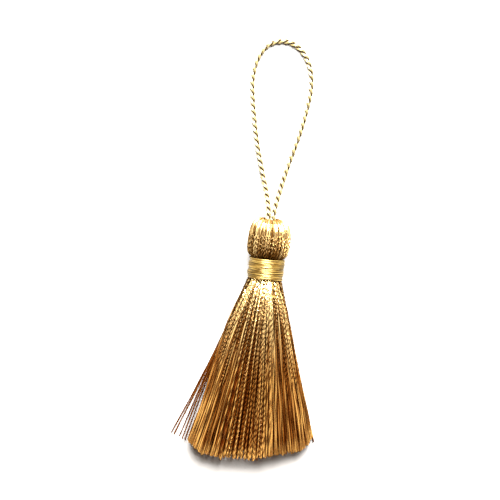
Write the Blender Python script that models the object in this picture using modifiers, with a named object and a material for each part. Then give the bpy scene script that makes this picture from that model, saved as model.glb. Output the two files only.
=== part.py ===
"""A small silky tassel lying on its side: folded yarn head with its skirt, wound neck binding, twisted loop.

Metres, +Z up. The tassel's axis runs along Y, with the loop toward +Y and the skirt toward -Y.
The origin is on the surface under the middle of the head and skirt. Heights along the axis are first
counted from the lower edge of the neck binding, and ORIGIN_ALONG then moves them to that origin.
"""

import math
import random
from collections import namedtuple

import bmesh
import bpy
from mathutils import Vector

MM = 0.001

# Overall sizes, in metres
AXIS_Z = 5.9 * MM
AXIS_X = 0.7 * MM
HEAD_TOP = 17.4 * MM
SKIRT_REACH = 56.8 * MM
ORIGIN_ALONG = (HEAD_TOP - SKIRT_REACH) / 2

# Skirt: straight locks that fan out from the neck and settle on the surface in rows
COLUMNS = 30
ROWS = 7
FAN_HALF_ANGLE = math.radians(17.8)
ROOT_LEVEL = 0.6 * MM
NECK_RADIUS = 4.5 * MM
PILE_MIDDLE = 7.6 * MM
PILE_EDGE = 2.8 * MM
PILE_ROUNDNESS = 2.2
LOCK_LENGTH = 54.6 * MM
LOCK_CROWN = 1.2 * MM
LENGTH_SPREAD = 1.3 * MM
RIGHT_TUFT_SHORTER = 3.4 * MM
FREE_ROOT = 2.2 * MM
SPREAD_DONE = 14 * MM
LANDING_BOTTOM = 12 * MM
LANDING_TOP = 54 * MM
SWELL = 2.6 * MM
SWELL_PEAK = 10 * MM
LOCK_FILL = 0.8
TIP_FILL = 0.7
TIP_SWAY = 0.14 * MM
STRAY_SPREAD = math.radians(1.0)
LOCK_SEED = 7
LEVELS = (FREE_ROOT, LANDING_BOTTOM, 30 * MM)

# Head and neck: each row is a ring round the axis, from the lock roots up to the dimple in the top
Ring = namedtuple("Ring", "along radius centre_x rib")
RINGS = (
    Ring(5.6, 4.40, 0.0, 0.00),
    Ring(6.3, 5.10, -0.10, 0.05),
    Ring(7.0, 5.80, -0.12, 0.12),
    Ring(8.2, 6.12, -0.08, 0.16),
    Ring(10.6, 6.25, 0.0, 0.16),
    Ring(13.0, 6.10, -0.05, 0.16),
    Ring(15.0, 5.70, -0.10, 0.16),
    Ring(16.4, 4.95, -0.20, 0.14),
    Ring(17.2, 3.90, -0.30, 0.10),
    Ring(17.4, 3.20, -0.35, 0.06),
    Ring(17.0, 2.55, -0.40, 0.03),
    Ring(16.1, 2.25, -0.40, 0.00),
)

# Neck binding: a thin sleeve of wound thread, a little wider at its lower edge
BINDING_LENGTH = 6.2 * MM
BINDING_LOW = -0.4 * MM
BINDING_TURNS = 8
BINDING_TOP_RADIUS = 5.28 * MM
BINDING_FOOT_RADIUS = 5.35 * MM
BINDING_THICKNESS = 0.38 * MM
BINDING_RIDGE = 0.14 * MM
BINDING_STEPS = 36

# Hanging loop: two-ply cord, S twist
CORD_DIAMETER = 1.65 * MM
CORD_PITCH = 4.2 * MM
STEPS_PER_TURN = 6
WAIST_SHARE = 0.62
LOBE_HALF_ANGLE = math.radians(33)
CURVE_PARTS = 40

# The loop's route in millimetres: across and along from the neck binding's lower edge, and height
RoutePoint = namedtuple("RoutePoint", "across along height")
LOOP_ROUTE = (
    RoutePoint(-1.12, 16.4, 6.55),
    RoutePoint(-1.14, 18.2, 6.35),
    RoutePoint(-1.46, 20.6, 5.6),
    RoutePoint(-2.16, 23.6, 4.25),
    RoutePoint(-3.36, 27.5, 2.42),
    RoutePoint(-4.58, 31.0, 1.25),
    RoutePoint(-5.70, 34.6, 0.90),
    RoutePoint(-6.90, 38.4, 0.85),
    RoutePoint(-8.45, 44.8, 0.85),
    RoutePoint(-9.65, 50.4, 0.85),
    RoutePoint(-10.55, 55.8, 0.85),
    RoutePoint(-10.70, 59.9, 0.85),
    RoutePoint(-9.90, 64.4, 0.85),
    RoutePoint(-7.80, 68.2, 0.85),
    RoutePoint(-5.10, 69.95, 0.85),
    RoutePoint(-2.35, 70.45, 0.85),
    RoutePoint(0.20, 69.95, 0.85),
    RoutePoint(2.90, 68.2, 0.85),
    RoutePoint(5.20, 65.05, 0.85),
    RoutePoint(6.60, 60.8, 0.85),
    RoutePoint(6.90, 55.9, 0.85),
    RoutePoint(6.35, 50.65, 0.85),
    RoutePoint(5.40, 44.6, 0.85),
    RoutePoint(4.10, 38.8, 0.85),
    RoutePoint(3.10, 34.6, 0.92),
    RoutePoint(2.30, 31.0, 1.28),
    RoutePoint(1.60, 27.5, 2.30),
    RoutePoint(0.90, 23.6, 3.72),
    RoutePoint(0.46, 20.6, 4.65),
    RoutePoint(0.30, 18.2, 5.10),
    RoutePoint(0.30, 16.4, 5.20),
)


def clear_scene():
    for obj in list(bpy.data.objects):
        bpy.data.objects.remove(obj, do_unlink=True)


def make_collection(name):
    collection = bpy.data.collections.new(name)
    bpy.context.scene.collection.children.link(collection)
    return collection


def make_material(name, colour, roughness):
    material = bpy.data.materials.new(name)
    material.use_nodes = True
    shader = material.node_tree.nodes["Principled BSDF"]
    shader.inputs["Base Color"].default_value = (*colour, 1.0)
    shader.inputs["Roughness"].default_value = roughness
    shader.inputs["Metallic"].default_value = 0.0
    return material


def place(across, along, height):
    """A point counted from the axis and the binding's lower edge, moved to the part's own origin."""
    return Vector((across + AXIS_X, along - ORIGIN_ALONG, height))


def ease(value):
    """0 at 0 and below, 1 at 1 and above, smooth between."""
    value = min(max(value, 0.0), 1.0)
    return value * value * (3 - 2 * value)


def mix(first, second, share):
    return first + (second - first) * share


def disc_point(across, up):
    """Maps the square from -1 to 1 onto the unit disc."""
    return across * math.sqrt(1 - up * up / 2), up * math.sqrt(1 - across * across / 2)


def pile_height(across):
    """How high the skirt's locks lie on each other, from its middle to its sides."""
    return mix(PILE_EDGE, PILE_MIDDLE, math.sqrt(max(0.0, 1 - abs(across) ** PILE_ROUNDNESS)))


def swell(across, height_share, distance):
    """How far the upper locks spring up as they leave the binding, before they fall again."""
    run = distance / SWELL_PEAK
    return SWELL * (1 - across * across) * height_share * run * math.exp(1 - run)


def skirt_point(across, up, distance, turn):
    """Where the skirt's section point (across, up), both -1 to 1, lies at a distance below the roots."""
    neck_x, neck_z = disc_point(across, up)
    angle = FAN_HALF_ANGLE * across + turn
    settled = ease(distance / SPREAD_DONE)
    start_x = NECK_RADIUS * mix(neck_x, across, settled)
    height_share = (up + 1) / 2
    landing = mix(LANDING_BOTTOM, LANDING_TOP, height_share)
    neck_height = AXIS_Z + NECK_RADIUS * neck_z
    pile = pile_height(across) * height_share
    height = mix(neck_height, pile, ease(distance / landing))
    height += swell(across, height_share, distance)
    return place(start_x + distance * math.sin(angle), ROOT_LEVEL - distance * math.cos(angle), height)


# What each corner and face of the yarn's mesh remembers: its place in the section, its rib and its lock
Marks = namedtuple("Marks", "across up rib lock")


class Lock:
    """One lock of the skirt: its cell in the root grid, its length and its small sway."""

    def __init__(self, column, row, chance):
        self.left = 2 * column / COLUMNS - 1
        self.right = 2 * (column + 1) / COLUMNS - 1
        self.low = 2 * row / ROWS - 1
        self.high = 2 * (row + 1) / ROWS - 1
        middle = (self.left + self.right) / 2
        self.length = LOCK_LENGTH + LOCK_CROWN * (1 - middle * middle)
        self.length += chance.uniform(-LENGTH_SPREAD, LENGTH_SPREAD)
        self.sway = chance.uniform(-TIP_SWAY, TIP_SWAY)
        self.stray = 0.0
        if column == 0:
            self.stray = -STRAY_SPREAD * row / (ROWS - 1)
        if column == COLUMNS - 1:
            self.length -= RIGHT_TUFT_SHORTER
        if column == COLUMNS // 2 and row == ROWS // 2:
            self.length = ROOT_LEVEL + SKIRT_REACH
            self.sway = 0.0

    def point(self, across, up, level):
        """A corner of the lock's section at one of its levels; the last level is the cut tip."""
        at_tip = level == len(LEVELS)
        distance = self.length if at_tip else LEVELS[level]
        fill = TIP_FILL if at_tip else LOCK_FILL
        middle = (self.left + self.right) / 2
        across = middle + (across - middle) * fill
        up = self.low + (up - self.low) * fill
        outer = max(0.0, distance - LANDING_BOTTOM) / (self.length - LANDING_BOTTOM)
        point = skirt_point(across, up, distance, self.stray * outer)
        if at_tip:
            point.x += self.sway
        return point


def grow_locks(mesh, faces, marks):
    """Pulls each face of the root grid out into a lock of its own, one level at a time."""
    chance = random.Random(LOCK_SEED)
    locks = [Lock(column, row, chance) for row in range(ROWS) for column in range(COLUMNS)]
    number = marks.lock
    for face in faces:
        middle_x = sum(corner[marks.across] for corner in face.verts) / 4
        middle_z = sum(corner[marks.up] for corner in face.verts) / 4
        column = int((middle_x + 1) / 2 * COLUMNS)
        row = int((middle_z + 1) / 2 * ROWS)
        face[number] = row * COLUMNS + column
    for level in range(len(LEVELS) + 1):
        faces = bmesh.ops.extrude_discrete_faces(mesh, faces=faces)["faces"]
        for face in faces:
            lock = locks[face[number]]
            for corner in face.verts:
                corner.co = lock.point(corner[marks.across], corner[marks.up], level)


def grow_head(mesh, edges, marks):
    """Takes the root grid's rim up the neck and over the head, ring by ring, and closes the dimple."""
    rim = {corner for edge in edges for corner in edge.verts}
    order = sorted(rim, key=lambda corner: math.atan2(corner[marks.up], corner[marks.across]))
    for index, corner in enumerate(order):
        corner[marks.rib] = 1 if index % 2 else -1
    for ring in RINGS:
        grown = bmesh.ops.extrude_edge_only(mesh, edges=edges)["geom"]
        edges = [item for item in grown if isinstance(item, bmesh.types.BMEdge)]
        edges = [edge for edge in edges if edge.is_boundary]
        corners = {corner for edge in edges for corner in edge.verts}
        for corner in corners:
            x, z = disc_point(corner[marks.across], corner[marks.up])
            radius = (ring.radius + ring.rib * corner[marks.rib]) * MM
            height = max(0.0, AXIS_Z + radius * z)
            corner.co = place(radius * x + ring.centre_x * MM, ring.along * MM, height)
    bmesh.ops.contextual_create(mesh, geom=edges)


def make_yarn(collection, material):
    """Head and skirt in one: the folded hank, whose locks are fused only at the neck."""
    mesh = bmesh.new()
    bmesh.ops.create_grid(mesh, x_segments=COLUMNS, y_segments=ROWS, size=1.0)
    for name in ("across", "up"):
        mesh.verts.layers.float.new(name)
    mesh.verts.layers.int.new("rib")
    mesh.faces.layers.int.new("lock")
    marks = Marks(
        across=mesh.verts.layers.float["across"],
        up=mesh.verts.layers.float["up"],
        rib=mesh.verts.layers.int["rib"],
        lock=mesh.faces.layers.int["lock"],
    )
    for corner in mesh.verts:
        corner[marks.across] = corner.co.x
        corner[marks.up] = corner.co.y
        corner.co = skirt_point(corner[marks.across], corner[marks.up], 0.0, 0.0)
    faces = list(mesh.faces)
    edges = [edge for edge in mesh.edges if edge.is_boundary]
    grow_head(mesh, edges, marks)
    grow_locks(mesh, faces, marks)
    bmesh.ops.recalc_face_normals(mesh, faces=mesh.faces)
    data = bpy.data.meshes.new("yarn_head_and_skirt")
    mesh.to_mesh(data)
    mesh.free()
    data.materials.append(material)
    yarn = bpy.data.objects.new("yarn_head_and_skirt", data)
    collection.objects.link(yarn)
    return yarn


def make_binding(collection, material):
    """The wound sleeve: its ridged profile is turned round the tassel's axis."""
    profile = []
    ridge_points = 2 * BINDING_TURNS + 1
    for index in range(ridge_points):
        share = index / (ridge_points - 1)
        radius = mix(BINDING_TOP_RADIUS, BINDING_FOOT_RADIUS, share)
        if index % 2 == 0:
            radius -= BINDING_RIDGE
        profile.append((radius, BINDING_LENGTH * (1 - share)))
    inner_foot = BINDING_FOOT_RADIUS - BINDING_THICKNESS
    inner_top = BINDING_TOP_RADIUS - BINDING_THICKNESS
    profile.append((inner_foot, 0.0))
    profile.append((inner_top, BINDING_LENGTH))

    data = bpy.data.meshes.new("neck_binding")
    corners = [(radius, 0.0, height) for radius, height in profile]
    sides = [(index, (index + 1) % len(corners)) for index in range(len(corners))]
    data.from_pydata(corners, sides, [])
    data.materials.append(material)
    binding = bpy.data.objects.new("neck_binding", data)
    collection.objects.link(binding)
    binding.rotation_euler = (math.radians(-90), 0, 0)
    binding.location = place(0.0, BINDING_LOW, AXIS_Z)

    screw = binding.modifiers.new("turned", "SCREW")
    screw.axis = "Z"
    screw.angle = math.tau
    screw.steps = BINDING_STEPS
    screw.render_steps = BINDING_STEPS
    screw.use_merge_vertices = True
    screw.merge_threshold = 0.00001
    screw.use_smooth_shade = True
    return binding


def smooth_route(points, step):
    """Points a step apart on the smooth curve through the given points."""
    dense = []
    for index in range(len(points) - 1):
        before = points[max(index - 1, 0)]
        start = points[index]
        end = points[index + 1]
        after = points[min(index + 2, len(points) - 1)]
        for part in range(CURVE_PARTS):
            t = part / CURVE_PARTS
            bend = (end - before) * t
            bend += (2 * before - 5 * start + 4 * end - after) * t ** 2
            bend += (3 * start - before - 3 * end + after) * t ** 3
            dense.append(start + bend / 2)
    dense.append(points[-1])

    lengths = [0.0]
    for first, second in zip(dense, dense[1:]):
        lengths.append(lengths[-1] + (second - first).length)
    count = round(lengths[-1] / step)
    result = []
    at = 0
    for index in range(count + 1):
        wanted = lengths[-1] * index / count
        while at < len(dense) - 2 and lengths[at + 1] < wanted:
            at += 1
        share = (wanted - lengths[at]) / (lengths[at + 1] - lengths[at])
        result.append(dense[at].lerp(dense[at + 1], share))
    return result


def make_lobed_profile(guides):
    """The cord's section: two plies side by side, with a waist between them."""
    curve = bpy.data.curves.new("cord_section", "CURVE")
    curve.dimensions = "2D"
    spline = curve.splines.new("POLY")
    radius = CORD_DIAMETER / 2
    waist = radius * WAIST_SHARE
    quarter = math.pi / 2
    corners = (
        (radius, -LOBE_HALF_ANGLE),
        (radius, LOBE_HALF_ANGLE),
        (waist, quarter),
        (radius, math.pi - LOBE_HALF_ANGLE),
        (radius, math.pi + LOBE_HALF_ANGLE),
        (waist, 3 * quarter),
    )
    spline.points.add(len(corners) - 1)
    for point, (reach, angle) in zip(spline.points, corners):
        point.co = (reach * math.cos(angle), -reach * math.sin(angle), 0.0, 1.0)
    spline.use_cyclic_u = True
    profile = bpy.data.objects.new("cord_section", curve)
    profile.hide_render = True
    profile.display_type = "WIRE"
    guides.objects.link(profile)
    return profile


def make_loop(collection, guides, material):
    """The hanging loop, from the dimple in the head's top, round on the surface and back."""
    route = [place(point.across * MM, point.along * MM, point.height * MM) for point in LOOP_ROUTE]
    points = smooth_route(route, CORD_PITCH / STEPS_PER_TURN)
    curve = bpy.data.curves.new("hanging_loop", "CURVE")
    curve.dimensions = "3D"
    curve.bevel_mode = "OBJECT"
    curve.bevel_object = make_lobed_profile(guides)
    curve.use_fill_caps = True
    spline = curve.splines.new("POLY")
    spline.points.add(len(points) - 1)
    for index, (corner, point) in enumerate(zip(spline.points, points)):
        corner.co = (*point, 1.0)
        corner.tilt = -math.tau * index / STEPS_PER_TURN
    curve.materials.append(material)
    loop = bpy.data.objects.new("hanging_loop", curve)
    collection.objects.link(loop)
    return loop


def main():
    clear_scene()
    parts = make_collection("tassel")
    guides = make_collection("guides")
    make_yarn(parts, make_material("skirt_yarn", (0.45, 0.25, 0.06), 0.35))
    make_binding(parts, make_material("binding_thread", (0.62, 0.42, 0.13), 0.3))
    make_loop(parts, guides, make_material("loop_cord", (0.78, 0.66, 0.36), 0.45))


main()
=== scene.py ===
"""The looks of a small silky tassel that lies on its side: camera, cord, yarn, binding, floor and light.

Metres, +Z up, in the part's own frame. Along the tassel's axis, distances are counted from ZERO_Y, a
little above the lower edge of the neck binding, as the part's solids count them.
"""

import math
from collections import namedtuple

import bpy
import numpy as np
from mathutils import Matrix, Vector


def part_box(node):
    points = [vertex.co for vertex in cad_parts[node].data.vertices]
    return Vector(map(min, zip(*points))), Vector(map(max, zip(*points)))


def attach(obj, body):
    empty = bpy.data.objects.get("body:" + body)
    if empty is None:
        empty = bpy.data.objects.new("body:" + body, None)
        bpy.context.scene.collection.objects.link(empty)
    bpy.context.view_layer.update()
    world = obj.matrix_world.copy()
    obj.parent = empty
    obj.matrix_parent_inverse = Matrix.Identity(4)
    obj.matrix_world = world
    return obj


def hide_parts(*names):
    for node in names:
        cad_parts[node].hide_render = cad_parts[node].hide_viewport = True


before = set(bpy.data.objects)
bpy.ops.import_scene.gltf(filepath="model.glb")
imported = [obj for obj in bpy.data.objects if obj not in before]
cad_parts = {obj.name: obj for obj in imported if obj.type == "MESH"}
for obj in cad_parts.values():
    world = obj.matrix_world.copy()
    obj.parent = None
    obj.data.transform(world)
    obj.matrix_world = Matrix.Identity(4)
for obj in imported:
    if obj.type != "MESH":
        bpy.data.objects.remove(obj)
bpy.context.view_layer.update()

MM = 0.001
NEARLY_ZERO = 1e-12
PLIES = 2
BODY = "root"

# The tassel's axis, read from the binding's solid
BINDING_BELOW_ZERO = 0.4 * MM
binding_low, binding_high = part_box("neck_binding")
AXIS_X = (binding_low.x + binding_high.x) / 2
AXIS_Z = (binding_low.z + binding_high.z) / 2
ZERO_Y = binding_low.y + BINDING_BELOW_ZERO
BINDING_TOP = binding_high.y - ZERO_Y

# Camera: looks down on the tassel from its head's side, turned a little, through a long lens
CAMERA_TARGET = (-4.7 * MM, 27.1 * MM, 4.0 * MM)
CAMERA_LEAN = math.radians(6)
CAMERA_ROLL = math.radians(6.8)
CAMERA_LENS = 200
CAMERA_SENSOR = 36
FRAME_WIDTH = 149.7 * MM
CAMERA_NEAREST = 0.01
CAMERA_FARTHEST = 20

# Hanging cord, two plies of fine strands laid with an S twist
CORD_PITCH = 4.2 * MM
CORD_STEP = 0.26 * MM
PLY_RADIUS = 0.40 * MM
STRANDS_IN_PLY = 7
STRAND_RADIUS = 0.135 * MM
STRAND_PITCH = 6.5 * MM
STRAND_SIDES = 5
# Painted shade: strands nearer the cord's axis than this are darker, down in the groove between the plies
GROOVE_SHADE_REACH = 0.48 * MM
GROOVE_SHADE_EDGE = 0.11 * MM

# The loop's route in millimetres: across and along from ZERO_Y, and height
LOOP_ROUTE = (
    (-1.12, 16.4, 6.55),
    (-1.14, 18.2, 6.35),
    (-1.46, 20.6, 5.6),
    (-2.16, 23.6, 4.25),
    (-3.36, 27.5, 2.42),
    (-4.58, 31.0, 1.25),
    (-5.70, 34.6, 0.90),
    (-6.90, 38.4, 0.85),
    (-8.45, 44.8, 0.85),
    (-9.65, 50.4, 0.85),
    (-10.55, 55.8, 0.85),
    (-10.70, 59.9, 0.85),
    (-9.90, 64.4, 0.85),
    (-7.80, 68.2, 0.85),
    (-5.10, 69.95, 0.85),
    (-2.35, 70.45, 0.85),
    (0.20, 69.95, 0.85),
    (2.90, 68.2, 0.85),
    (5.20, 65.05, 0.85),
    (6.60, 60.8, 0.85),
    (6.90, 55.9, 0.85),
    (6.35, 50.65, 0.85),
    (5.40, 44.6, 0.85),
    (4.10, 38.8, 0.85),
    (3.10, 34.6, 0.92),
    (2.30, 31.0, 1.28),
    (1.60, 27.5, 2.30),
    (0.90, 23.6, 3.72),
    (0.46, 20.6, 4.65),
    (0.30, 18.2, 5.10),
    (0.30, 16.4, 5.20),
)

# Skirt: the same fan as the solids, filled with single threads
FAN_HALF_ANGLE = math.radians(17.8)
NECK_RADIUS = 4.35 * MM
ROOT_LEVEL = 1.6 * MM
PILE_MIDDLE = 7.4 * MM
PILE_EDGE = 2.4 * MM
PILE_ROUNDNESS = 2.2
SPREAD_DONE = 14 * MM
LANDING_BOTTOM = 12 * MM
LANDING_TOP = 54 * MM
SWELL = 3.1 * MM
SWELL_PEAK = 11.5 * MM

# Threads of the skirt: how many in each layer from below, and how thick and closely twisted
ROW_COLUMNS = (64, 62, 60, 60, 58, 56, 52)
THREAD_ROWS = len(ROW_COLUMNS)
PLIED_ROWS = 2
FINE_ROWS = 4
PLY_WIDE = 0.24 * MM
PLY_DEEP = 0.18 * MM
THINNEST_THREAD = 0.75
THICKEST_THREAD = 1.05
THREAD_PITCH = 2.9 * MM
CLOSEST_TWIST = 0.85
WIDEST_TWIST = 1.15
STEPS_PER_TURN = 8
COARSE_STEP = 1.1 * MM
LONGEST_THREAD = 58 * MM

# How unevenly the threads lie. Places across and up the skirt's section run from -1 to 1.
COLUMN_START = 0.25
COLUMN_STAGGER = 0.5
COLUMN_JITTER = 0.3
ROW_JITTER = 0.6
LOCKS_ACROSS = 22
LOCK_EDGE_JITTER = 0.35
LOCK_GATHER = 0.13
LEAST_GATHER = 0.1
LOCK_LIFT = 0.18 * MM
LOOSE_RUN = 40 * MM
WANDER = 0.009
WANDER_WAVES = 3
WANDER_LENGTH = 60 * MM
ACROSS_LIMIT = 1.02
THREAD_LIFT = 0.40 * MM
LIFT_WAVES = 2
LIFT_LENGTH = 75 * MM
LIFT_RUN = 15 * MM
RAGGED_LOCK = 0.14 * MM
RAGGED_THREAD = 0.24 * MM

# Some threads start deeper in the neck and rise to their place
ROOT_DIP = 0.5
DIP_SHARES = (0.0, 0.0, 0.4, 1.0)
LEAST_DIP = 0.6
RISE_SHORTEST = 10 * MM
RISE_LONGEST = 30 * MM

# The left side of the skirt is drawn in toward the middle
LEFT_FROM = 0.5
LEFT_CURVE = 1.5
LEFT_DRAWN_IN = 0.19
LEFT_DRAWN_START = 10 * MM
LEFT_DRAWN_RUN = 38 * MM

# Crimp: small waves in each thread, which fade down the skirt
CRIMP = 0.08 * MM
CRIMP_SHORTEST = 3.5 * MM
CRIMP_LONGEST = 8 * MM
CRIMP_PHASES = 6
CRIMP_RUN = 6 * MM
CRIMP_FADE = 0.85
CRIMP_FADE_START = 15 * MM
CRIMP_FADE_RUN = 20 * MM

# Twist: combed open toward the tips, a little in the middle of the skirt and far more at its sides
UNTWIST_EARLIEST = 8 * MM
UNTWIST_LATEST = 34 * MM
UNTWIST_RUN = 14 * MM
LEAST_OPENED = 0.3
OPENED_MIDDLE = 0.3
OPENED_SIDES = 24.0
SIDES_FROM = 0.2
SIDES_RUN = 0.5
FLAT_AT = 4
TWIST_UNEVEN = 1.6
TWIST_WAVES = 3
TWIST_LENGTH = 40 * MM
TIP_TURN_SPREAD = 0.4

# Tone of the skirt's threads, from 0 for the darkest tint to 1 for the lightest. It carries painted shade
# on the lower layers, on the sides near the root and down each thread's flanks, and painted highlight on
# the tips, on the middle near the root and in glints along each thread.
SKIRT_TONE = 0.70
LOCK_TONE_SPREAD = 0.06
THREAD_TONE_SPREAD = 0.29
GLINT_TONE = 0.12
GLINT_WAVES = 4
GLINT_LENGTH = 50 * MM
# Painted light: the last few millimetres of each thread are lighter
TIP_PAINTED_LIGHT = 0.85
TIP_LIGHT_RUN = 5 * MM
# Painted shade: the outer threads are darker near the root, fading down the skirt
SIDES_PAINTED_SHADE = 0.45
SIDES_SHADE_RUN = 30 * MM
# Painted highlight: the middle of the skirt is lighter near the root
CROWN_PAINTED_LIGHT = 0.15
CROWN_LIGHT_RUN = 20 * MM
EDGE_TONE = 0.12
EDGE_RUN = 40 * MM
# Painted shade round each thread: lighter on its outer side, darker down its flanks and beneath
FLANK_SHADE = 0.75
FLANK_SHADE_MIDDLE = 0.5

# Section of a thread, as shares of its half width and half depth: two plies side by side, or a plain oval
PLIED_SECTION = ((1, 0), (0.6, 1), (0, 0.35), (-0.6, 1), (-1, 0), (-0.6, -1), (0, -0.35), (0.6, -1))
OVAL_SECTION = ((1, 0), (0, 1), (-1, 0), (0, -1))

# Length of the threads from the root, in millimetres, from the skirt's left side to its right
LENGTH_AT = (-1.0, -0.8, -0.6, -0.35, -0.1, 0.1, 0.35, 0.55, 0.8, 0.95, 1.0)
LENGTH_MM = (55.0, 56.2, 57.6, 57.6, 56.8, 56.6, 55.6, 54.9, 54.4, 52.6, 51.0)

# Free threads at the sides: how far they lean out, in degrees, and their length in millimetres
STRAYS = (
    (-19.0, 55.2),
    (-18.0, 55.6),
    (-16.7, 55.6),
    (-15.8, 56.1),
    (-15.0, 56.2),
    (17.6, 47.6),
    (18.0, 52.8),
)
LONGEST_STRAY = 56 * MM
STRAY_ROOT = 0.93
STRAY_CURVE = 1.6
STRAY_UP_AT_ROOT = 0.1
STRAY_UP_LANDED = -0.6
STRAY_LANDING_RUN = 25 * MM
STRAY_WAVE = 0.15 * MM
STRAY_WAVE_RUN = 9 * MM
STRAY_DEEP = 1.3
STRAY_SIDENESS = 3.0
STRAY_EVEN_TONE = 0.15
STRAY_ODD_TONE = 0.35

# Head: profile of its outer threads in millimetres, from inside the binding over the rim to the dimple
HEAD_ALONG = (3.0, 5.6, 6.4, 7.2, 8.6, 10.6, 13.0, 15.0, 16.4, 17.2, 17.45, 17.2, 16.4, 15.4)
HEAD_RADIUS = (4.35, 4.45, 5.05, 5.72, 6.05, 6.18, 6.02, 5.62, 4.90, 3.95, 3.20, 2.50, 1.95, 1.60)
HEAD_CENTRE_X = (0, -0.05, -0.1, -0.12, -0.08, 0, -0.05, -0.1, -0.2, -0.3, -0.35, -0.4, -0.4, -0.4)
HEAD_THREADS = 96
HEAD_LAYERS = 2
LAYER_DROP = 0.32 * MM
TOP_LEVEL = 12 * MM
TOP_RUN = 4 * MM
HEAD_ANGLE_SPREAD = 0.012
HEAD_SWAY = 0.016
SWAY_WAVES = 2
SWAY_LENGTH = 1.3
HEAD_DROP_SPREAD = 0.05 * MM
DIMPLE_NARROW = 0.62
DIMPLE_EDGE = 1.8 * MM
DIMPLE_RUN = 2.4 * MM
HEAD_TWIST_UNEVEN = 1.2
HEAD_TWIST_LENGTH = 25 * MM

# The head's rim, where its threads twist less and carry a painted highlight
RIM_LEVEL = 12.5 * MM
RIM_RUN = 1.5 * MM
RIM_COMBED = 0.85

# Tone of the head's threads, with painted shade on the inner layer and in the darker patch at the foot of
# its middle, beside the binding, and a painted highlight along the rim
HEAD_TONE = 0.44
HEAD_TONE_SPREAD = 0.13
# Painted shade: the inner layer of the head is darker
INNER_LAYER_SHADE = 0.3
FOOT_PAINTED_SHADE = 0.2
FOOT_LEVEL = 7 * MM
FOOT_RUN = 6 * MM
FOOT_SIDE = 0.75
FOOT_BLEND = 0.5
RIM_PAINTED_LIGHT = 0.18
RIM_SHADE_LOST = 0.6

# Binding: one fine thread wound round the neck
WINDING_TURNS = 27
WINDING_STEPS = 60
WINDING_HALF_WIDTH = 0.155 * MM
WINDING_HALF_DEPTH = 0.10 * MM
WINDING_SIDES = 6
BINDING_TOP_RADIUS = 5.18 * MM
BINDING_FOOT_RADIUS = 5.24 * MM
SLOW_WOBBLE = 0.05 * MM
QUICK_WOBBLE = 0.04 * MM
TURN_RISE = 0.035 * MM
LOBE_RISE = 0.15 * MM
LOBES = 3
BINDING_TONE = 0.5
SLOW_TONE = 0.27
QUICK_TONE = 0.25

# Silks. The tints are the base colour at tone 0, 0.5 and 1. The far tints, toward the tips, are painted
# shade: browner where the yarn, of one colour, catches less light.
# The groove shade is painted shade: what the base colour is multiplied by in the groove between two plies.
Silk = namedtuple("Silk", "tints far_tints roughness stretch ior metallic fibres groove sheen_tint")
PLY_GROOVE_SHADE = (0.11, 0.026, 0.005)
NO_GROOVE_SHADE = (1.0, 1.0, 1.0)
YARN_SILK = Silk(
    tints=((0.026, 0.0060, 0.0003), (0.150, 0.063, 0.0090), (0.93, 0.73, 0.34)),
    far_tints=((0.088, 0.0125, 0.0004), (0.235, 0.076, 0.0095), (0.58, 0.32, 0.086)),
    roughness=0.27,
    stretch=1.0,
    ior=1.8,
    metallic=0.8,
    fibres=7,
    groove=PLY_GROOVE_SHADE,
    sheen_tint=(1.0, 0.78, 0.34),
)
HEAD_SILK = YARN_SILK._replace(far_tints=None, roughness=0.25)
BINDING_SILK = Silk(
    tints=((0.024, 0.0100, 0.0014), (0.096, 0.054, 0.0080), (0.205, 0.140, 0.037)),
    far_tints=None,
    roughness=0.42,
    stretch=0.8,
    ior=1.6,
    metallic=0.5,
    fibres=5,
    groove=NO_GROOVE_SHADE,
    sheen_tint=(0.90, 0.76, 0.42),
)
CORD_SILK = Silk(
    tints=((0.005, 0.0018, 0.0006), (0.032, 0.015, 0.0035), (0.130, 0.106, 0.049)),
    far_tints=None,
    roughness=0.45,
    stretch=1.0,
    ior=1.5,
    metallic=0.0,
    fibres=6,
    groove=NO_GROOVE_SHADE,
    sheen_tint=(1.0, 0.92, 0.68),
)

# What all silks share. The far tints, painted shade, take over along a thread between the two distances
# given below, in millimetres.
WHITE = (1.0, 1.0, 1.0)
TINT_STOPS = (0.0, 0.5, 1.0)
FAR_SHADE_START = 6
FAR_SHADE_FULL = 32
# How far across a ply the painted groove shade reaches
GROOVE_SHADE_WIDTH = 0.55
FIBRE_ALONG = 0.9
FIBRE_DETAIL = 3.0
STREAK_TINT = (0.72, 0.70, 0.66)
STREAK_DARK = 0.3
STREAK_LIGHT = 0.65
STREAK_STRENGTH = 0.8
ROUGHNESS_LESS = 0.06
ROUGHNESS_MORE = 0.08
FIBRE_BUMP = 0.5
FIBRE_RELIEF = 0.03 * MM
SHARP_ANGLE = math.radians(65)

# Floor
FLOOR_HALF = 1.5
FLOOR_BELOW = 0.02 * MM
FLOOR_DARK = (0.168, 0.165, 0.162)
FLOOR_LIGHT = (0.180, 0.177, 0.174)
FLOOR_DARK_AT = 0.35
FLOOR_LIGHT_AT = 0.65
FLOOR_ROUGHNESS = 0.75
CLOUD_SCALE = 9.0
CLOUD_DETAIL = 4.0

# Light: soft boxes with their size in metres, power in watts, direction and distance from the aim
Light = namedtuple("Light", "name size power direction distance colour")
LIGHTS = (
    Light("key", (0.66, 0.70), 152.0, (0.04, 0.74, 0.67), 0.8, (1.0, 0.98, 0.95)),
    Light("left_fill", (0.5, 0.35), 0.8, (-0.9, 0.0, 0.42), 0.8, (1.0, 0.97, 0.92)),
    Light("right_fill", (0.5, 0.35), 0.6, (0.9, 0.0, 0.42), 0.8, (1.0, 0.97, 0.92)),
)
LIGHT_AIM = (0, 0.02, 0)
WORLD_COLOUR = (1.0, 0.60, 0.34)
WORLD_STRENGTH = 0.32

chance = np.random.default_rng(20)


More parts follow.
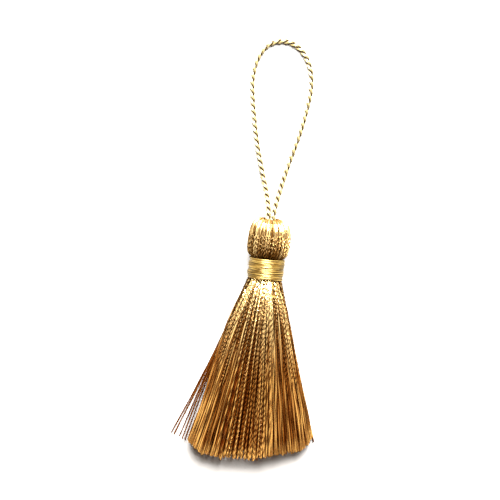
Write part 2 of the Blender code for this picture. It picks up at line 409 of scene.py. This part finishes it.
def make_camera():
    data = bpy.data.cameras.new("camera")
    data.lens = CAMERA_LENS
    data.sensor_width = CAMERA_SENSOR
    data.clip_start = CAMERA_NEAREST
    data.clip_end = CAMERA_FARTHEST
    camera = bpy.data.objects.new("camera", data)
    bpy.context.scene.collection.objects.link(camera)
    back = Vector((0, math.sin(CAMERA_LEAN), math.cos(CAMERA_LEAN)))
    top = Vector((-math.sin(CAMERA_ROLL), math.cos(CAMERA_ROLL), 0))
    right = top.cross(back).normalized()
    top = back.cross(right).normalized()
    turn = Matrix((right, top, back)).transposed()
    distance = FRAME_WIDTH / 2 / (CAMERA_SENSOR / 2 / CAMERA_LENS)
    camera.matrix_world = Matrix.Translation(Vector(CAMERA_TARGET) + back * distance) @ turn.to_4x4()
    bpy.context.scene.camera = camera


def ease(value):
    """0 at 0 and below, 1 at 1 and above, smooth between."""
    value = np.clip(value, 0, 1)
    return value * value * (3 - 2 * value)


def mix(first, second, share):
    return first + (second - first) * share


def unit(vectors):
    return vectors / np.maximum(np.linalg.norm(vectors, axis=-1, keepdims=True), NEARLY_ZERO)


def smooth_curve(points, step):
    """Points about a step apart on the smooth curve through the given points."""
    parts = 40
    padded = np.concatenate([points[:1], points, points[-1:]])
    before, start, end, after = padded[:-3], padded[1:-2], padded[2:-1], padded[3:]
    t = (np.arange(parts) / parts)[None, :, None]
    before, start, end, after = (x[:, None, :] for x in (before, start, end, after))
    bend = (end - before) * t
    bend = bend + (2 * before - 5 * start + 4 * end - after) * t ** 2
    bend = bend + (3 * start - before - 3 * end + after) * t ** 3
    dense = (start + bend / 2).reshape(-1, points.shape[1])
    dense = np.concatenate([dense, points[-1:]])
    lengths = np.concatenate([[0], np.cumsum(np.linalg.norm(np.diff(dense, axis=0), axis=1))])
    wanted = np.linspace(0, lengths[-1], round(lengths[-1] / step) + 1)
    return np.stack([np.interp(wanted, lengths, dense[:, k]) for k in range(points.shape[1])], axis=1)


def distances(paths):
    """How far along its own path each point lies."""
    steps = np.linalg.norm(np.diff(paths, axis=1), axis=2)
    return np.concatenate([np.zeros((len(paths), 1)), np.cumsum(steps, axis=1)], axis=1)


def frames(paths, outward):
    """For each point: the sideways and the outward direction, square to the path."""
    tangent = unit(np.gradient(paths, axis=1))
    out = unit(outward - (outward * tangent).sum(axis=2, keepdims=True) * tangent)
    return np.cross(out, tangent), out


def sweep(paths, outward, half_width, half_depth, turn, section):
    """Rings of points round each path: a section that turns as it goes."""
    side, out = frames(paths, outward)
    turn = turn[..., None]
    wide = np.cos(turn) * side + np.sin(turn) * out
    deep = np.cos(turn) * out - np.sin(turn) * side
    section = np.array(section, dtype=float)
    wide = wide[:, :, None, :] * (half_width[..., None] * section[:, 0])[..., None]
    deep = deep[:, :, None, :] * (half_depth[..., None] * section[:, 1])[..., None]
    return paths[:, :, None, :] + wide + deep


def round_section(sides):
    angles = np.arange(sides) * math.tau / sides
    return np.stack([np.cos(angles), np.sin(angles)], axis=1)


def tube_faces(count, rings, sides):
    """Corner numbers of the side faces and of the two end faces of joined tubes."""
    tube = np.arange(count)[:, None, None] * rings * sides
    ring = np.arange(rings - 1)[None, :, None] * sides
    first = np.arange(sides)[None, None, :]
    second = (first + 1) % sides
    near = tube + ring
    far = near + sides
    walls = np.stack([near + first, near + second, far + second, far + first], axis=-1).reshape(-1, 4)
    start = tube[:, 0] + np.arange(sides)[::-1]
    end = tube[:, 0] + (rings - 1) * sides + np.arange(sides)
    return walls, np.concatenate([start, end])


def tube_object(name, rings, along, tone, material):
    """One mesh of joined tubes with closed ends, a map that runs round and along each, and a tone."""
    count, steps, sides = rings.shape[:3]
    walls, ends = tube_faces(count, steps, sides)
    mesh = bpy.data.meshes.new(name)
    mesh.vertices.add(count * steps * sides)
    mesh.vertices.foreach_set("co", rings.reshape(-1).astype(np.float32))
    mesh.loops.add(walls.size + ends.size)
    corners = np.concatenate([walls.reshape(-1), ends.reshape(-1)])
    mesh.loops.foreach_set("vertex_index", corners.astype(np.int32))
    mesh.polygons.add(len(walls) + len(ends))
    wall_starts = np.arange(len(walls)) * 4
    end_starts = walls.size + np.arange(len(ends)) * sides
    mesh.polygons.foreach_set("loop_start", np.concatenate([wall_starts, end_starts]).astype(np.int32))

    around = np.arange(sides) / sides
    low = np.broadcast_to(around, (count, steps - 1, sides))
    here = np.broadcast_to(along[:, :-1, None], low.shape) / MM
    there = np.broadcast_to(along[:, 1:, None], low.shape) / MM
    high = low + 1 / sides
    square = np.stack([low, here, high, here, high, there, low, there], axis=-1)
    cap = np.stack([np.repeat(along[:, :1], sides, 1), np.repeat(along[:, -1:], sides, 1)]) / MM
    caps = np.stack([np.tile(around, 2 * count), cap.reshape(-1)], axis=-1)
    uv = mesh.uv_layers.new(name="thread")
    uv.data.foreach_set("uv", np.concatenate([square.reshape(-1), caps.reshape(-1)]).astype(np.float32))

    shade = mesh.attributes.new("tone", "FLOAT", "POINT")
    tone = tone if tone.ndim == 3 else tone[..., None]
    spread = np.broadcast_to(tone, (count, steps, sides))
    shade.data.foreach_set("value", spread.reshape(-1).astype(np.float32))
    mesh.update(calc_edges=True)
    mesh.validate()
    mesh.shade_smooth()
    mesh.set_sharp_from_angle(angle=SHARP_ANGLE)
    mesh.materials.append(material)
    piece = bpy.data.objects.new(name, mesh)
    bpy.context.scene.collection.objects.link(piece)
    return piece


def dress(piece, node):
    """The piece stands for a solid and moves with it, and the solid is hidden."""
    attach(piece, BODY)
    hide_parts(node)


class Nodes:
    """A short way to build a material's nodes."""

    def __init__(self, name):
        self.material = bpy.data.materials.new(name)
        self.material.use_nodes = True
        self.tree = self.material.node_tree
        self.shader = self.tree.nodes["Principled BSDF"]

    def add(self, kind, **values):
        node = self.tree.nodes.new(kind)
        for key, value in values.items():
            setattr(node, key, value)
        return node

    def link(self, source, target):
        self.tree.links.new(source, target)

    def span(self, source, low, high):
        node = self.add("ShaderNodeMapRange")
        node.inputs["From Min"].default_value = low
        node.inputs["From Max"].default_value = high
        self.link(source, node.inputs["Value"])
        return node.outputs["Result"]

    def ramp(self, source, stops):
        node = self.add("ShaderNodeValToRGB")
        elements = node.color_ramp.elements
        while len(elements) < len(stops):
            elements.new(0.5)
        for element, (position, colour) in zip(elements, stops):
            element.position = position
            element.color = (*colour, 1)
        self.link(source, node.inputs["Fac"])
        return node.outputs["Color"]


def silk_material(name, silk):
    """Silky thread: its tone differs from thread to thread, painted shade darkens the groove between plies
    and browns the far tints, and fine fibres run along it.
    """
    nodes = Nodes(name)
    tone = nodes.add("ShaderNodeAttribute", attribute_name="tone")
    colour = nodes.ramp(tone.outputs["Fac"], tuple(zip(TINT_STOPS, silk.tints)))
    place = nodes.add("ShaderNodeUVMap", uv_map="thread")
    split = nodes.add("ShaderNodeSeparateXYZ")
    nodes.link(place.outputs["UV"], split.inputs["Vector"])
    # Toward the tips the far tints take over: painted shade
    if silk.far_tints:
        far_shade_colour = nodes.ramp(tone.outputs["Fac"], tuple(zip(TINT_STOPS, silk.far_tints)))
        far_shade_blend = nodes.add("ShaderNodeMix", data_type="RGBA")
        nodes.link(nodes.span(split.outputs["Y"], FAR_SHADE_START, FAR_SHADE_FULL), far_shade_blend.inputs["Factor"])
        nodes.link(colour, far_shade_blend.inputs["A"])
        nodes.link(far_shade_colour, far_shade_blend.inputs["B"])
        colour = far_shade_blend.outputs["Result"]

    scale = nodes.add("ShaderNodeMapping")
    scale.inputs["Scale"].default_value = (silk.fibres, FIBRE_ALONG, 1)
    nodes.link(place.outputs["UV"], scale.inputs["Vector"])
    fibre = nodes.add("ShaderNodeTexNoise")
    fibre.inputs["Scale"].default_value = 1.0
    fibre.inputs["Detail"].default_value = FIBRE_DETAIL
    nodes.link(scale.outputs["Vector"], fibre.inputs["Vector"])

    streak = nodes.ramp(fibre.outputs["Fac"], ((STREAK_DARK, STREAK_TINT), (STREAK_LIGHT, WHITE)))
    blend = nodes.add("ShaderNodeMix", data_type="RGBA", blend_type="MULTIPLY")
    blend.inputs["Factor"].default_value = STREAK_STRENGTH
    nodes.link(colour, blend.inputs["A"])
    nodes.link(streak, blend.inputs["B"])

    # Painted shade: the base colour is darkened along the line between two plies, where the cosine across
    # the map is lowest
    wave = nodes.add("ShaderNodeMath", operation="MULTIPLY")
    wave.inputs[1].default_value = PLIES * math.tau
    nodes.link(split.outputs["X"], wave.inputs[0])
    ply = nodes.add("ShaderNodeMath", operation="COSINE")
    nodes.link(wave.outputs["Value"], ply.inputs[0])
    ply_share = nodes.span(ply.outputs["Value"], -1, 1)
    shade = nodes.ramp(ply_share, ((0.0, silk.groove), (GROOVE_SHADE_WIDTH, WHITE)))
    deepen = nodes.add("ShaderNodeMix", data_type="RGBA", blend_type="MULTIPLY")
    deepen.inputs["Factor"].default_value = 1.0
    nodes.link(blend.outputs["Result"], deepen.inputs["A"])
    nodes.link(shade, deepen.inputs["B"])
    nodes.link(deepen.outputs["Result"], nodes.shader.inputs["Base Color"])

    rough = nodes.add("ShaderNodeMapRange")
    rough.inputs["To Min"].default_value = silk.roughness - ROUGHNESS_LESS
    rough.inputs["To Max"].default_value = silk.roughness + ROUGHNESS_MORE
    nodes.link(fibre.outputs["Fac"], rough.inputs["Value"])
    nodes.link(rough.outputs["Result"], nodes.shader.inputs["Roughness"])

    bump = nodes.add("ShaderNodeBump")
    bump.inputs["Strength"].default_value = FIBRE_BUMP
    bump.inputs["Distance"].default_value = FIBRE_RELIEF
    nodes.link(fibre.outputs["Fac"], bump.inputs["Height"])
    nodes.link(bump.outputs["Normal"], nodes.shader.inputs["Normal"])
    across = nodes.add("ShaderNodeTangent", direction_type="UV_MAP", uv_map="thread")
    nodes.link(across.outputs["Tangent"], nodes.shader.inputs["Tangent"])
    nodes.shader.inputs["Anisotropic"].default_value = silk.stretch
    nodes.shader.inputs["Metallic"].default_value = silk.metallic
    nodes.shader.inputs["Specular IOR Level"].default_value = 1.0
    nodes.shader.inputs["IOR"].default_value = silk.ior
    nodes.shader.inputs["Specular Tint"].default_value = (*silk.sheen_tint, 1)
    return nodes.material


def make_cord():
    """The hanging loop: two plies laid round each other, each of fine strands."""
    route = np.array(LOOP_ROUTE) * MM + np.array([AXIS_X, ZERO_Y, 0])
    line = smooth_curve(route, CORD_STEP)
    paths = line[None]
    upward = np.broadcast_to(np.array([0.0, 0.0, 1.0]), paths.shape)
    side, out = frames(paths, upward)
    along = distances(paths)
    strands = []
    for ply in range(PLIES):
        lay = -math.tau * along / CORD_PITCH + math.tau * ply / PLIES
        lay = lay[..., None]
        direction = np.cos(lay) * side + np.sin(lay) * out
        ply_path = paths + PLY_RADIUS * direction
        ply_side, ply_out = frames(ply_path, direction)
        for strand in range(STRANDS_IN_PLY):
            angle = math.tau * along / STRAND_PITCH + math.tau * strand / STRANDS_IN_PLY
            angle = angle[..., None]
            reach = PLY_RADIUS - STRAND_RADIUS
            strands.append(ply_path + reach * (np.cos(angle) * ply_side + np.sin(angle) * ply_out))
    strands = np.concatenate(strands)
    outward = unit(strands - paths)
    size = np.full(strands.shape[:2], STRAND_RADIUS)
    rings = sweep(strands, outward, size, size, np.zeros(size.shape), round_section(STRAND_SIDES))
    # Painted shade in the groove between the plies: the nearer a strand lies to the cord's axis, the
    # darker it is
    from_axis = np.linalg.norm(rings - paths[:, :, None, :], axis=3)
    tone = ease((from_axis - GROOVE_SHADE_REACH) / GROOVE_SHADE_EDGE)
    rings[..., 2] = np.maximum(rings[..., 2], 0.0)
    silk = silk_material("cord_silk", CORD_SILK)
    piece = tube_object("twisted_loop", rings, distances(strands), tone, silk)
    dress(piece, "hanging_loop")


def disc_point(across, up):
    """Maps the square from -1 to 1 onto the unit disc."""
    return across * np.sqrt(1 - up * up / 2), up * np.sqrt(1 - across * across / 2)


def skirt_points(across, up, distance):
    """Where threads lie at a distance from the roots, for places across and up from -1 to 1."""
    neck_x, neck_z = disc_point(across, up)
    angle = FAN_HALF_ANGLE * across
    settled = ease(distance / SPREAD_DONE)
    start_x = NECK_RADIUS * mix(neck_x, across, settled)
    share = (up + 1) / 2
    landing = mix(LANDING_BOTTOM, LANDING_TOP, share)
    neck_height = AXIS_Z + NECK_RADIUS * neck_z
    roundness = np.sqrt(np.maximum(0, 1 - np.abs(across) ** PILE_ROUNDNESS))
    pile = mix(PILE_EDGE, PILE_MIDDLE, roundness) * share
    run = np.maximum(0, distance - ROOT_LEVEL) / SWELL_PEAK
    lift = SWELL * np.maximum(0, 1 - across * across) * share * run * np.exp(1 - run)
    height = mix(neck_height, pile, ease(distance / landing)) + lift
    x = AXIS_X + start_x + distance * np.sin(angle)
    y = ZERO_Y + ROOT_LEVEL - distance * np.cos(angle)
    return np.stack([x, y, height], axis=-1)


def slow_noise(along, count, waves, length):
    """Smooth random curves, one for each thread: a few slow waves with random phases."""
    total = np.zeros(along.shape)
    for wave in range(1, waves + 1):
        phase = chance.uniform(0, math.tau, (count, 1))
        strength = chance.normal(0, 1, (count, 1)) / wave
        total += strength * np.sin(math.tau * wave * along / length + phase)
    return total


def make_locks():
    """The edges of the locks across the skirt, uneven but in order."""
    edges = np.linspace(-1, 1, LOCKS_ACROSS + 1)
    gap = 2 / LOCKS_ACROSS
    edges[1:-1] += chance.uniform(-LOCK_EDGE_JITTER, LOCK_EDGE_JITTER, LOCKS_ACROSS - 1) * gap
    return edges


def thread_row(row, columns):
    """One layer of the skirt's threads: their paths, their tone, and how far from the middle each lies."""
    fine = row >= THREAD_ROWS - FINE_ROWS
    step = THREAD_PITCH / STEPS_PER_TURN if fine else COARSE_STEP
    rings = int(LONGEST_THREAD / step)
    gap = 2 / columns
    stagger = COLUMN_STAGGER * (row % 2)
    across = -1 + gap * (np.arange(columns) + COLUMN_START + stagger)
    across = np.clip(across + chance.uniform(-COLUMN_JITTER, COLUMN_JITTER, columns) * gap, -1, 1)
    up = -1 + 2 * (row + 0.5) / THREAD_ROWS
    up = up + chance.uniform(-ROW_JITTER, ROW_JITTER, columns) / THREAD_ROWS
    up = np.clip(up, -1, 1)

    edges = make_locks()
    lock = np.clip(np.searchsorted(edges, across) - 1, 0, LOCKS_ACROSS - 1)
    middle = (edges[lock] + edges[lock + 1]) / 2
    gather = chance.uniform(LEAST_GATHER, 1, LOCKS_ACROSS)[lock] * LOCK_GATHER
    rise = chance.normal(0, 1, LOCKS_ACROSS)[lock] * LOCK_LIFT
    ragged = chance.normal(0, 1, LOCKS_ACROSS)[lock] * RAGGED_LOCK
    ragged = ragged + chance.normal(0, 1, columns) * RAGGED_THREAD
    lock_tone = chance.normal(0, LOCK_TONE_SPREAD, LOCKS_ACROSS)[lock]

    length = np.interp(across, LENGTH_AT, LENGTH_MM) * MM + ragged
    distance = np.linspace(0, 1, rings)[None, :] * length[:, None]
    loose = ease(distance / LOOSE_RUN)
    path_across = across[:, None] + (middle - across)[:, None] * gather[:, None] * loose
    path_across += slow_noise(distance, columns, WANDER_WAVES, WANDER_LENGTH) * WANDER * loose
    leftness = np.clip((-across - LEFT_FROM) / (1 - LEFT_FROM), 0, 1) ** LEFT_CURVE
    drawn = ease((distance - LEFT_DRAWN_START) / LEFT_DRAWN_RUN)
    path_across += LEFT_DRAWN_IN * leftness[:, None] * drawn
    dip = ROOT_DIP * chance.choice(DIP_SHARES, columns) * chance.uniform(LEAST_DIP, 1, columns)
    risen = ease(distance / chance.uniform(RISE_SHORTEST, RISE_LONGEST, (columns, 1)))
    path_up = np.maximum(-1, up[:, None] - dip[:, None] * (1 - risen))
    points = skirt_points(np.clip(path_across, -ACROSS_LIMIT, ACROSS_LIMIT), path_up, distance)
    points[..., 2] += rise[:, None] * loose
    lifts = slow_noise(distance, columns, LIFT_WAVES, LIFT_LENGTH)
    points[..., 2] += lifts * THREAD_LIFT * ease(distance / LIFT_RUN)
    crimp_length = chance.uniform(CRIMP_SHORTEST, CRIMP_LONGEST, (columns, 1))
    crimp_phase = chance.uniform(0, CRIMP_PHASES, (columns, 1))
    crimp = np.sin(math.tau * distance / crimp_length + crimp_phase)
    crimp_left = 1 - CRIMP_FADE * ease((distance - CRIMP_FADE_START) / CRIMP_FADE_RUN)
    points[..., 2] += crimp * CRIMP * ease(distance / CRIMP_RUN) * crimp_left

    # Painted shade: the lower a thread lies in the pile, the darker it is
    buried_shade = (1 - up) * (1 - across ** 4)
    tone = SKIRT_TONE - buried_shade + lock_tone + chance.normal(0, THREAD_TONE_SPREAD, columns)
    # Painted light on the tips
    tip_light = ease((distance - length[:, None]) / TIP_LIGHT_RUN + 1)
    # Painted shade on the sides near the root
    sides_shade = np.abs(across[:, None]) ** 4 * (1 - ease(distance / SIDES_SHADE_RUN))
    # Painted highlight on the middle near the root
    crown_light = (1 - across[:, None] ** 2) * (1 - ease(distance / CROWN_LIGHT_RUN))
    glint = GLINT_TONE * slow_noise(distance, columns, GLINT_WAVES, GLINT_LENGTH)
    edge = np.abs(across[:, None]) ** 3 * ease(distance / EDGE_RUN)
    tone = tone[:, None] + glint + TIP_PAINTED_LIGHT * tip_light - SIDES_PAINTED_SHADE * sides_shade
    tone = tone + CROWN_PAINTED_LIGHT * crown_light - EDGE_TONE * edge
    return points, tone, np.abs(across)


def thread_rings(points, half_width, half_depth, section, sideness):
    """Twisted threads: a section that turns with the Z twist, less where the yarn is combed open."""
    along = distances(points)
    count = len(points)
    pitch = THREAD_PITCH * chance.uniform(CLOSEST_TWIST, WIDEST_TWIST, (count, 1))
    at_side = ease((sideness[:, None] - SIDES_FROM) / SIDES_RUN)
    opened = chance.uniform(LEAST_OPENED, 1.0, (count, 1)) * (OPENED_MIDDLE + OPENED_SIDES * at_side)
    untwist_start = chance.uniform(UNTWIST_EARLIEST, UNTWIST_LATEST, (count, 1))
    combed = ease((along - untwist_start) / UNTWIST_RUN)
    rate = math.tau / (pitch * (1 + opened * combed))
    step = np.diff(along, axis=1, prepend=0)
    turn = np.cumsum(rate * step, axis=1)
    flat = np.minimum(1, opened / FLAT_AT)
    phase = chance.uniform(0, math.tau, (count, 1)) * (1 - flat * combed)
    uneven = TWIST_UNEVEN * slow_noise(along, count, TWIST_WAVES, TWIST_LENGTH) * (1 - flat * combed)
    turn = turn - turn[:, -1:] + phase + uneven + chance.normal(0, TIP_TURN_SPREAD, (count, 1))
    upward = np.broadcast_to(np.array([0.0, 0.0, 1.0]), points.shape)
    wide = np.broadcast_to(half_width, along.shape)
    deep = np.broadcast_to(half_depth, along.shape)
    points = points.copy()
    points[..., 2] = np.maximum(points[..., 2], half_width)
    rings = sweep(points, upward, wide, deep, turn, section)
    rings[..., 2] = np.maximum(rings[..., 2], 0.0)
    return rings, along, flank_shade(rings, points, upward)


def flank_shade(rings, points, outward):
    """The painted shade that each corner of a thread adds: lighter on its outer side, darker down its
    flanks and beneath.
    """
    outness = ((rings - points[:, :, None, :]) * outward[:, :, None, :]).sum(axis=3) / PLY_WIDE
    return FLANK_SHADE * (outness - FLANK_SHADE_MIDDLE)


def make_skirt(silk):
    """The skirt's threads, one object for each layer."""
    for row in range(THREAD_ROWS):
        points, tone, sideness = thread_row(row, ROW_COLUMNS[row])
        section = PLIED_SECTION if row >= THREAD_ROWS - PLIED_ROWS else OVAL_SECTION
        thickness = chance.uniform(THINNEST_THREAD, THICKEST_THREAD, (len(points), 1))
        half_width = PLY_WIDE * thickness
        half_depth = PLY_DEEP * thickness
        rings, along, shade = thread_rings(points, half_width, half_depth, section, sideness)
        piece = tube_object("skirt_layer_%d" % (row + 1), rings, along, tone[..., None] + shade, silk)
        dress(piece, "yarn_head_and_skirt")


def make_strays(silk):
    """The few threads that lie apart at the skirt's sides."""
    steps = int(LONGEST_STRAY / (THREAD_PITCH / STEPS_PER_TURN))
    paths = []
    for degrees, length in STRAYS:
        distance = np.linspace(0, length * MM, steps)
        lean = math.radians(degrees) / FAN_HALF_ANGLE
        near = np.sign(lean) * STRAY_ROOT
        share = (distance / distance[-1]) ** STRAY_CURVE
        across = mix(near, lean, share)
        up = mix(STRAY_UP_AT_ROOT, STRAY_UP_LANDED, ease(distance / STRAY_LANDING_RUN))
        point = skirt_points(np.clip(across, -1, 1), up, distance)
        extra = (across - np.clip(across, -1, 1)) * FAN_HALF_ANGLE * distance
        point[:, 0] += extra
        wave = chance.uniform(0, math.tau)
        point[:, 0] += STRAY_WAVE * share * np.sin(distance / STRAY_WAVE_RUN + wave)
        paths.append(point)
    paths = np.array(paths)
    sideness = np.full(len(paths), STRAY_SIDENESS)
    rings, along, _ = thread_rings(paths, PLY_WIDE, PLY_DEEP * STRAY_DEEP, OVAL_SECTION, sideness)
    tone = np.where(np.arange(len(paths)) % 2, STRAY_ODD_TONE, STRAY_EVEN_TONE)
    tone = np.broadcast_to(tone[:, None], along.shape)
    piece = tube_object("skirt_strays", rings, along, tone, silk)
    dress(piece, "yarn_head_and_skirt")


def make_head(silk):
    """The folded yarn: threads that run up out of the binding, over the rim and into the dimple."""
    profile = np.array([HEAD_ALONG, HEAD_RADIUS, HEAD_CENTRE_X]).T * MM
    line = smooth_curve(profile, THREAD_PITCH / STEPS_PER_TURN)
    steps = len(line)
    for layer in range(HEAD_LAYERS):
        angle = (np.arange(HEAD_THREADS) + 0.5 * layer) * math.tau / HEAD_THREADS
        angle = angle + chance.normal(0, HEAD_ANGLE_SPREAD, HEAD_THREADS)
        share = np.linspace(0, 1, steps)[None, :]
        shares = np.broadcast_to(share, (HEAD_THREADS, steps))
        sway = slow_noise(shares, HEAD_THREADS, SWAY_WAVES, SWAY_LENGTH) * HEAD_SWAY
        angle = angle[:, None] + sway
        drop = LAYER_DROP * layer + chance.normal(0, HEAD_DROP_SPREAD, (HEAD_THREADS, 1))
        shift = chance.uniform(-0.5, 0.5, (HEAD_THREADS, 1)) / steps
        spot = np.clip(share + shift, 0, 1)
        level, radius, centre = (np.interp(spot, share[0], line[:, column]) for column in range(3))
        radius = radius - drop
        side = np.cos(angle)
        up = np.sin(angle)
        x = AXIS_X + centre + radius * side
        y = ZERO_Y + level - LAYER_DROP * layer * ease((level - TOP_LEVEL) / TOP_RUN)
        z = np.maximum(AXIS_Z + radius * up, PLY_WIDE)
        points = np.stack([x, y, z], axis=-1)
        outward = np.stack([side, np.zeros(side.shape), up], axis=-1)
        along = distances(points)
        narrow = mix(DIMPLE_NARROW, 1.0, ease((line[:, 1] - DIMPLE_EDGE) / DIMPLE_RUN))
        wide = np.broadcast_to(PLY_WIDE * narrow, along.shape)
        deep = np.broadcast_to(PLY_DEEP * narrow, along.shape)
        rim = ease((level - RIM_LEVEL) / RIM_RUN)
        rate = math.tau / THREAD_PITCH * (1 - RIM_COMBED * rim)
        turn = chance.uniform(0, math.tau, (HEAD_THREADS, 1))
        turn = turn + np.cumsum(rate * np.diff(along, axis=1, prepend=0), axis=1)
        turn += HEAD_TWIST_UNEVEN * slow_noise(along, HEAD_THREADS, TWIST_WAVES, HEAD_TWIST_LENGTH)
        rings = sweep(points, outward, wide, deep, turn, PLIED_SECTION)
        rings[..., 2] = np.maximum(rings[..., 2], 0.0)
        # Painted shade on the inner layer
        tone = HEAD_TONE + chance.normal(0, HEAD_TONE_SPREAD, (HEAD_THREADS, 1)) - INNER_LAYER_SHADE * layer
        # Painted shade at the foot of the head's middle, beside the binding
        foot_shade = 1 - ease((level - FOOT_LEVEL) / FOOT_RUN)
        tone = tone - FOOT_PAINTED_SHADE * foot_shade * ease((FOOT_SIDE - np.abs(side)) / FOOT_BLEND)
        # Painted highlight along the rim
        tone = tone + RIM_PAINTED_LIGHT * rim
        shade = flank_shade(rings, points, outward) * (1 - RIM_SHADE_LOST * rim[..., None])
        tone = tone[..., None] + shade
        piece = tube_object("head_layer_%d" % (layer + 1), rings, along, tone, silk)
        dress(piece, "yarn_head_and_skirt")


def make_binding():
    """One fine thread wound round the neck, turn beside turn, a little uneven.

    The rates inside the sines share no period shorter than the whole winding, so no two turns are alike.
    """
    steps = WINDING_TURNS * WINDING_STEPS
    share = np.linspace(0, 1, steps)
    angle = share * WINDING_TURNS * math.tau
    turn_number = share * WINDING_TURNS
    group = 3 * np.sin(turn_number * 1.3) + 2 * np.sin(turn_number * 3.1)
    wobble = SLOW_WOBBLE * np.sin(angle * 0.5 + 3 * np.sin(turn_number * 0.7))
    wobble += QUICK_WOBBLE * np.sin(angle + 2.1 * np.sin(turn_number * 1.9))
    start = -BINDING_BELOW_ZERO + WINDING_HALF_WIDTH
    end = BINDING_TOP - WINDING_HALF_WIDTH
    along_axis = mix(end, start, share) + wobble
    radius = mix(BINDING_TOP_RADIUS, BINDING_FOOT_RADIUS, share)
    radius = radius + TURN_RISE * np.sin(turn_number * 2.6) + LOBE_RISE * np.sin(LOBES * angle + group)
    x = AXIS_X + radius * np.cos(angle)
    y = ZERO_Y + along_axis
    z = AXIS_Z + radius * np.sin(angle)
    paths = np.stack([x, y, z], axis=-1)[None]
    outward = np.stack([np.cos(angle), np.zeros(steps), np.sin(angle)], axis=-1)[None]
    wide = np.full((1, steps), WINDING_HALF_WIDTH)
    deep = np.full((1, steps), WINDING_HALF_DEPTH)
    rings = sweep(paths, outward, wide, deep, np.zeros((1, steps)), round_section(WINDING_SIDES))
    tone = BINDING_TONE + SLOW_TONE * np.sin(turn_number * 4.1) + QUICK_TONE * np.sin(turn_number * 9.7)
    silk = silk_material("binding_silk", BINDING_SILK)
    piece = tube_object("wound_binding", rings, distances(paths), tone[None], silk)
    dress(piece, "neck_binding")


def make_floor():
    """A plain pale surface under the tassel."""
    nodes = Nodes("pale_floor")
    place = nodes.add("ShaderNodeTexCoord")
    cloud = nodes.add("ShaderNodeTexNoise")
    cloud.inputs["Scale"].default_value = CLOUD_SCALE
    cloud.inputs["Detail"].default_value = CLOUD_DETAIL
    nodes.link(place.outputs["Object"], cloud.inputs["Vector"])
    stops = ((FLOOR_DARK_AT, FLOOR_DARK), (FLOOR_LIGHT_AT, FLOOR_LIGHT))
    colour = nodes.ramp(cloud.outputs["Fac"], stops)
    nodes.link(colour, nodes.shader.inputs["Base Color"])
    nodes.shader.inputs["Roughness"].default_value = FLOOR_ROUGHNESS
    mesh = bpy.data.meshes.new("floor")
    half = FLOOR_HALF
    corners = [(-half, -half, 0), (half, -half, 0), (half, half, 0), (-half, half, 0)]
    mesh.from_pydata(corners, [], [(0, 1, 2, 3)])
    mesh.materials.append(nodes.material)
    floor = bpy.data.objects.new("floor", mesh)
    floor.location.z = -FLOOR_BELOW
    bpy.context.scene.collection.objects.link(floor)


def make_light(light):
    """One soft box that faces the aim."""
    data = bpy.data.lights.new(light.name, "AREA")
    data.shape = "RECTANGLE"
    data.size = light.size[0]
    data.size_y = light.size[1]
    data.energy = light.power
    data.color = light.colour
    lamp = bpy.data.objects.new(light.name, data)
    direction = Vector(light.direction).normalized()
    lamp.location = Vector(LIGHT_AIM) + direction * light.distance
    lamp.rotation_mode = "QUATERNION"
    lamp.rotation_quaternion = direction.to_track_quat("Z", "Y")
    bpy.context.scene.collection.objects.link(lamp)


def make_lighting():
    world = bpy.data.worlds.new("studio")
    world.use_nodes = True
    background = world.node_tree.nodes["Background"]
    background.inputs["Color"].default_value = (*WORLD_COLOUR, 1)
    background.inputs["Strength"].default_value = WORLD_STRENGTH
    bpy.context.scene.world = world
    for light in LIGHTS:
        make_light(light)
    bpy.context.scene.view_settings.view_transform = "Standard"


make_camera()
make_cord()
yarn_silk = silk_material("yarn_silk", YARN_SILK)
head_silk = silk_material("head_silk", HEAD_SILK)
make_skirt(yarn_silk)
make_strays(yarn_silk)
make_head(head_silk)
make_binding()
make_floor()
make_lighting()
